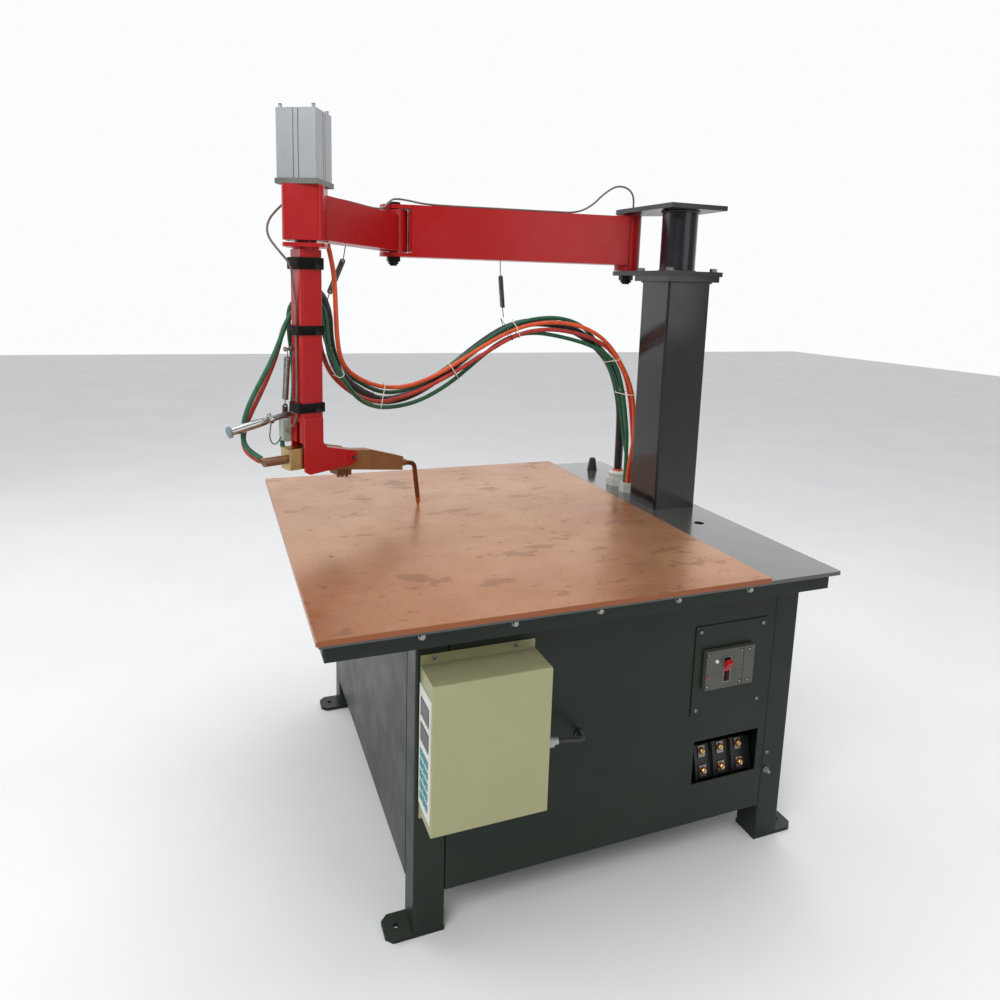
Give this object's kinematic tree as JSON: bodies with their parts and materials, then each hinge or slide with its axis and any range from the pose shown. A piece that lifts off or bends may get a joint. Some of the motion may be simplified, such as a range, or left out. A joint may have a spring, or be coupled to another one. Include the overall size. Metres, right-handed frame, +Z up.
{
  "type": "table spot welder with swing arm",
  "caption": "Table spot welder: steel cabinet bench with a copper work table, a column, a jointed swing arm and a water-cooled air-driven electrode tool.",
  "frame": {"origin": "on the floor at the centre of the four anchor holes in the feet", "axes": "+Z up, +X to the operator's right, +Y from the operator towards the column"},
  "size_m": [1.251, 1.4463, 1.891],
  "materials": {
    "green_grey_paint": "semi-gloss",
    "charcoal_paint": "gloss",
    "blue_black_paint": "gloss",
    "red_paint": "gloss",
    "dark_steel": "gloss",
    "copper": "worn",
    "dark_copper": "worn",
    "bronze": "cast",
    "brass": "machined",
    "zinc_steel": "zinc plated",
    "bearing_steel": "ground",
    "chrome": "polished",
    "aluminium": "anodised",
    "pale_plastic": "smooth",
    "olive_paint": "satin",
    "white_plastic": "printed",
    "board_green": "satin",
    "black_plastic": "satin",
    "grey_plastic": "satin",
    "red_plastic": "smooth",
    "green_grey_plastic": "smooth",
    "black_rubber": "matt",
    "green_rubber": "matt",
    "red_rubber": "matt",
    "orange_plastic": "smooth",
    "black_fabric": "woven",
    "core_steel": "laminated",
    "winding_tape": "varnished"
  },
  "bodies": {
    "bench": {"cabinet_frame": "green_grey_paint", "cabinet_panels": "green_grey_paint", "table_rails": "green_grey_paint", "rail_bolts": "zinc_steel", "steel_top_plate": "dark_steel", "copper_table_plate": "copper", "column": "charcoal_paint", "arm_bracket": "blue_black_paint", "bracket_bolts": "zinc_steel", "rear_pivot_bolt": "zinc_steel", "cable_glands": "pale_plastic", "rubber_grommets": "black_rubber", "controller_case": "olive_paint", "controller_keypad": "white_plastic", "controller_board": "board_green", "controller_connector": "aluminium", "panel_screws": "zinc_steel", "access_plate": "green_grey_paint", "breaker": "grey_plastic", "terminal_block": "black_plastic", "transformer_core": "core_steel", "transformer_windings": "winding_tape", "table_busbar": "copper", "thyristor_module": "aluminium", "water_manifold": "brass", "controller_cable": "black_rubber"},
    "main_arm": {"main_arm": "red_paint", "rear_bearings": "bearing_steel", "mid_pivot_bolt": "zinc_steel", "spring_main_arm": "zinc_steel", "power_cable": "black_rubber", "green_hose": "green_rubber", "red_hose": "red_rubber", "return_hose": "green_rubber", "air_hose": "orange_plastic", "signal_cable": "black_rubber"},
    "front_arm": {"front_arm": "red_paint", "front_arm_bearings": "bearing_steel", "cylinder_base_plate": "blue_black_paint", "air_cylinder": "aluminium", "spring_front_arm": "zinc_steel"},
    "tool": {"tool_tube": "red_paint", "hook_loop_straps": "black_fabric", "lever_pivot_bolt": "zinc_steel", "handle_bracket": "zinc_steel", "handle_grip": "chrome", "handle_fittings": "chrome", "junction_box": "green_grey_plastic", "spring_handle": "zinc_steel", "handle_lead": "black_rubber"},
    "push_rod": {"push_rod": "bearing_steel"},
    "lever": {"lever_arm": "bronze", "brass_block": "brass", "water_terminal": "dark_copper", "cable_clamp_block": "dark_copper", "electrode": "copper", "electrode_tip": "copper"},
    "toggle": {"breaker_toggle": "red_plastic"},
    "test_button": {"breaker_test_button": "white_plastic"},
    "handle_button": {"handle_button": "white_plastic"}
  },
  "joints": [
    {"name": "main_arm_swing", "type": "hinge", "parent": "bench", "child": "main_arm", "pos_m": [-0.224, 0.393, 1.62], "axis": [0, 0, 1], "range_deg": [-70, 45], "deforming": ["power_cable", "green_hose", "red_hose", "return_hose", "air_hose", "signal_cable", "spring_main_arm"]},
    {"name": "front_arm_swing", "type": "hinge", "parent": "main_arm", "child": "front_arm", "pos_m": [-0.32, -0.367, 1.62], "axis": [0, 0, 1], "range_deg": [-60, 45]},
    {"name": "tool_rotation", "type": "hinge", "parent": "front_arm", "child": "tool", "pos_m": [-0.043, -0.6625, 1.6], "axis": [0, 0, 1], "range_deg": [-45, 30]},
    {"name": "electrode_rock", "type": "hinge", "parent": "tool", "child": "lever", "pos_m": [-0.08606, -0.55803, 0.993], "axis": [0.9245, 0.3811, 0], "range_deg": [0, 10]},
    {"name": "push_rod_stroke", "type": "slide", "parent": "tool", "child": "push_rod", "axis": [0, 0, -1], "range_m": [0, 0.0198]},
    {"name": "breaker_toggle_throw", "type": "hinge", "parent": "bench", "child": "toggle", "pos_m": [0.538, 0.289, 0.534], "axis": [0, 1, 0], "range_deg": [0, 60]},
    {"name": "test_button_press", "type": "slide", "parent": "bench", "child": "test_button", "axis": [-1, 0, 0], "range_m": [0, 0.002], "stiffness_N_per_m": 400},
    {"name": "handle_button_press", "type": "slide", "parent": "tool", "child": "handle_button", "axis": [-0.0747, 0.1813, -0.9806], "range_m": [0, 0.002], "stiffness_N_per_m": 400}
  ],
  "couplings": [
    {"joint": "push_rod_stroke", "follows": "electrode_rock", "m_per_rad": 0.113}
  ]
}
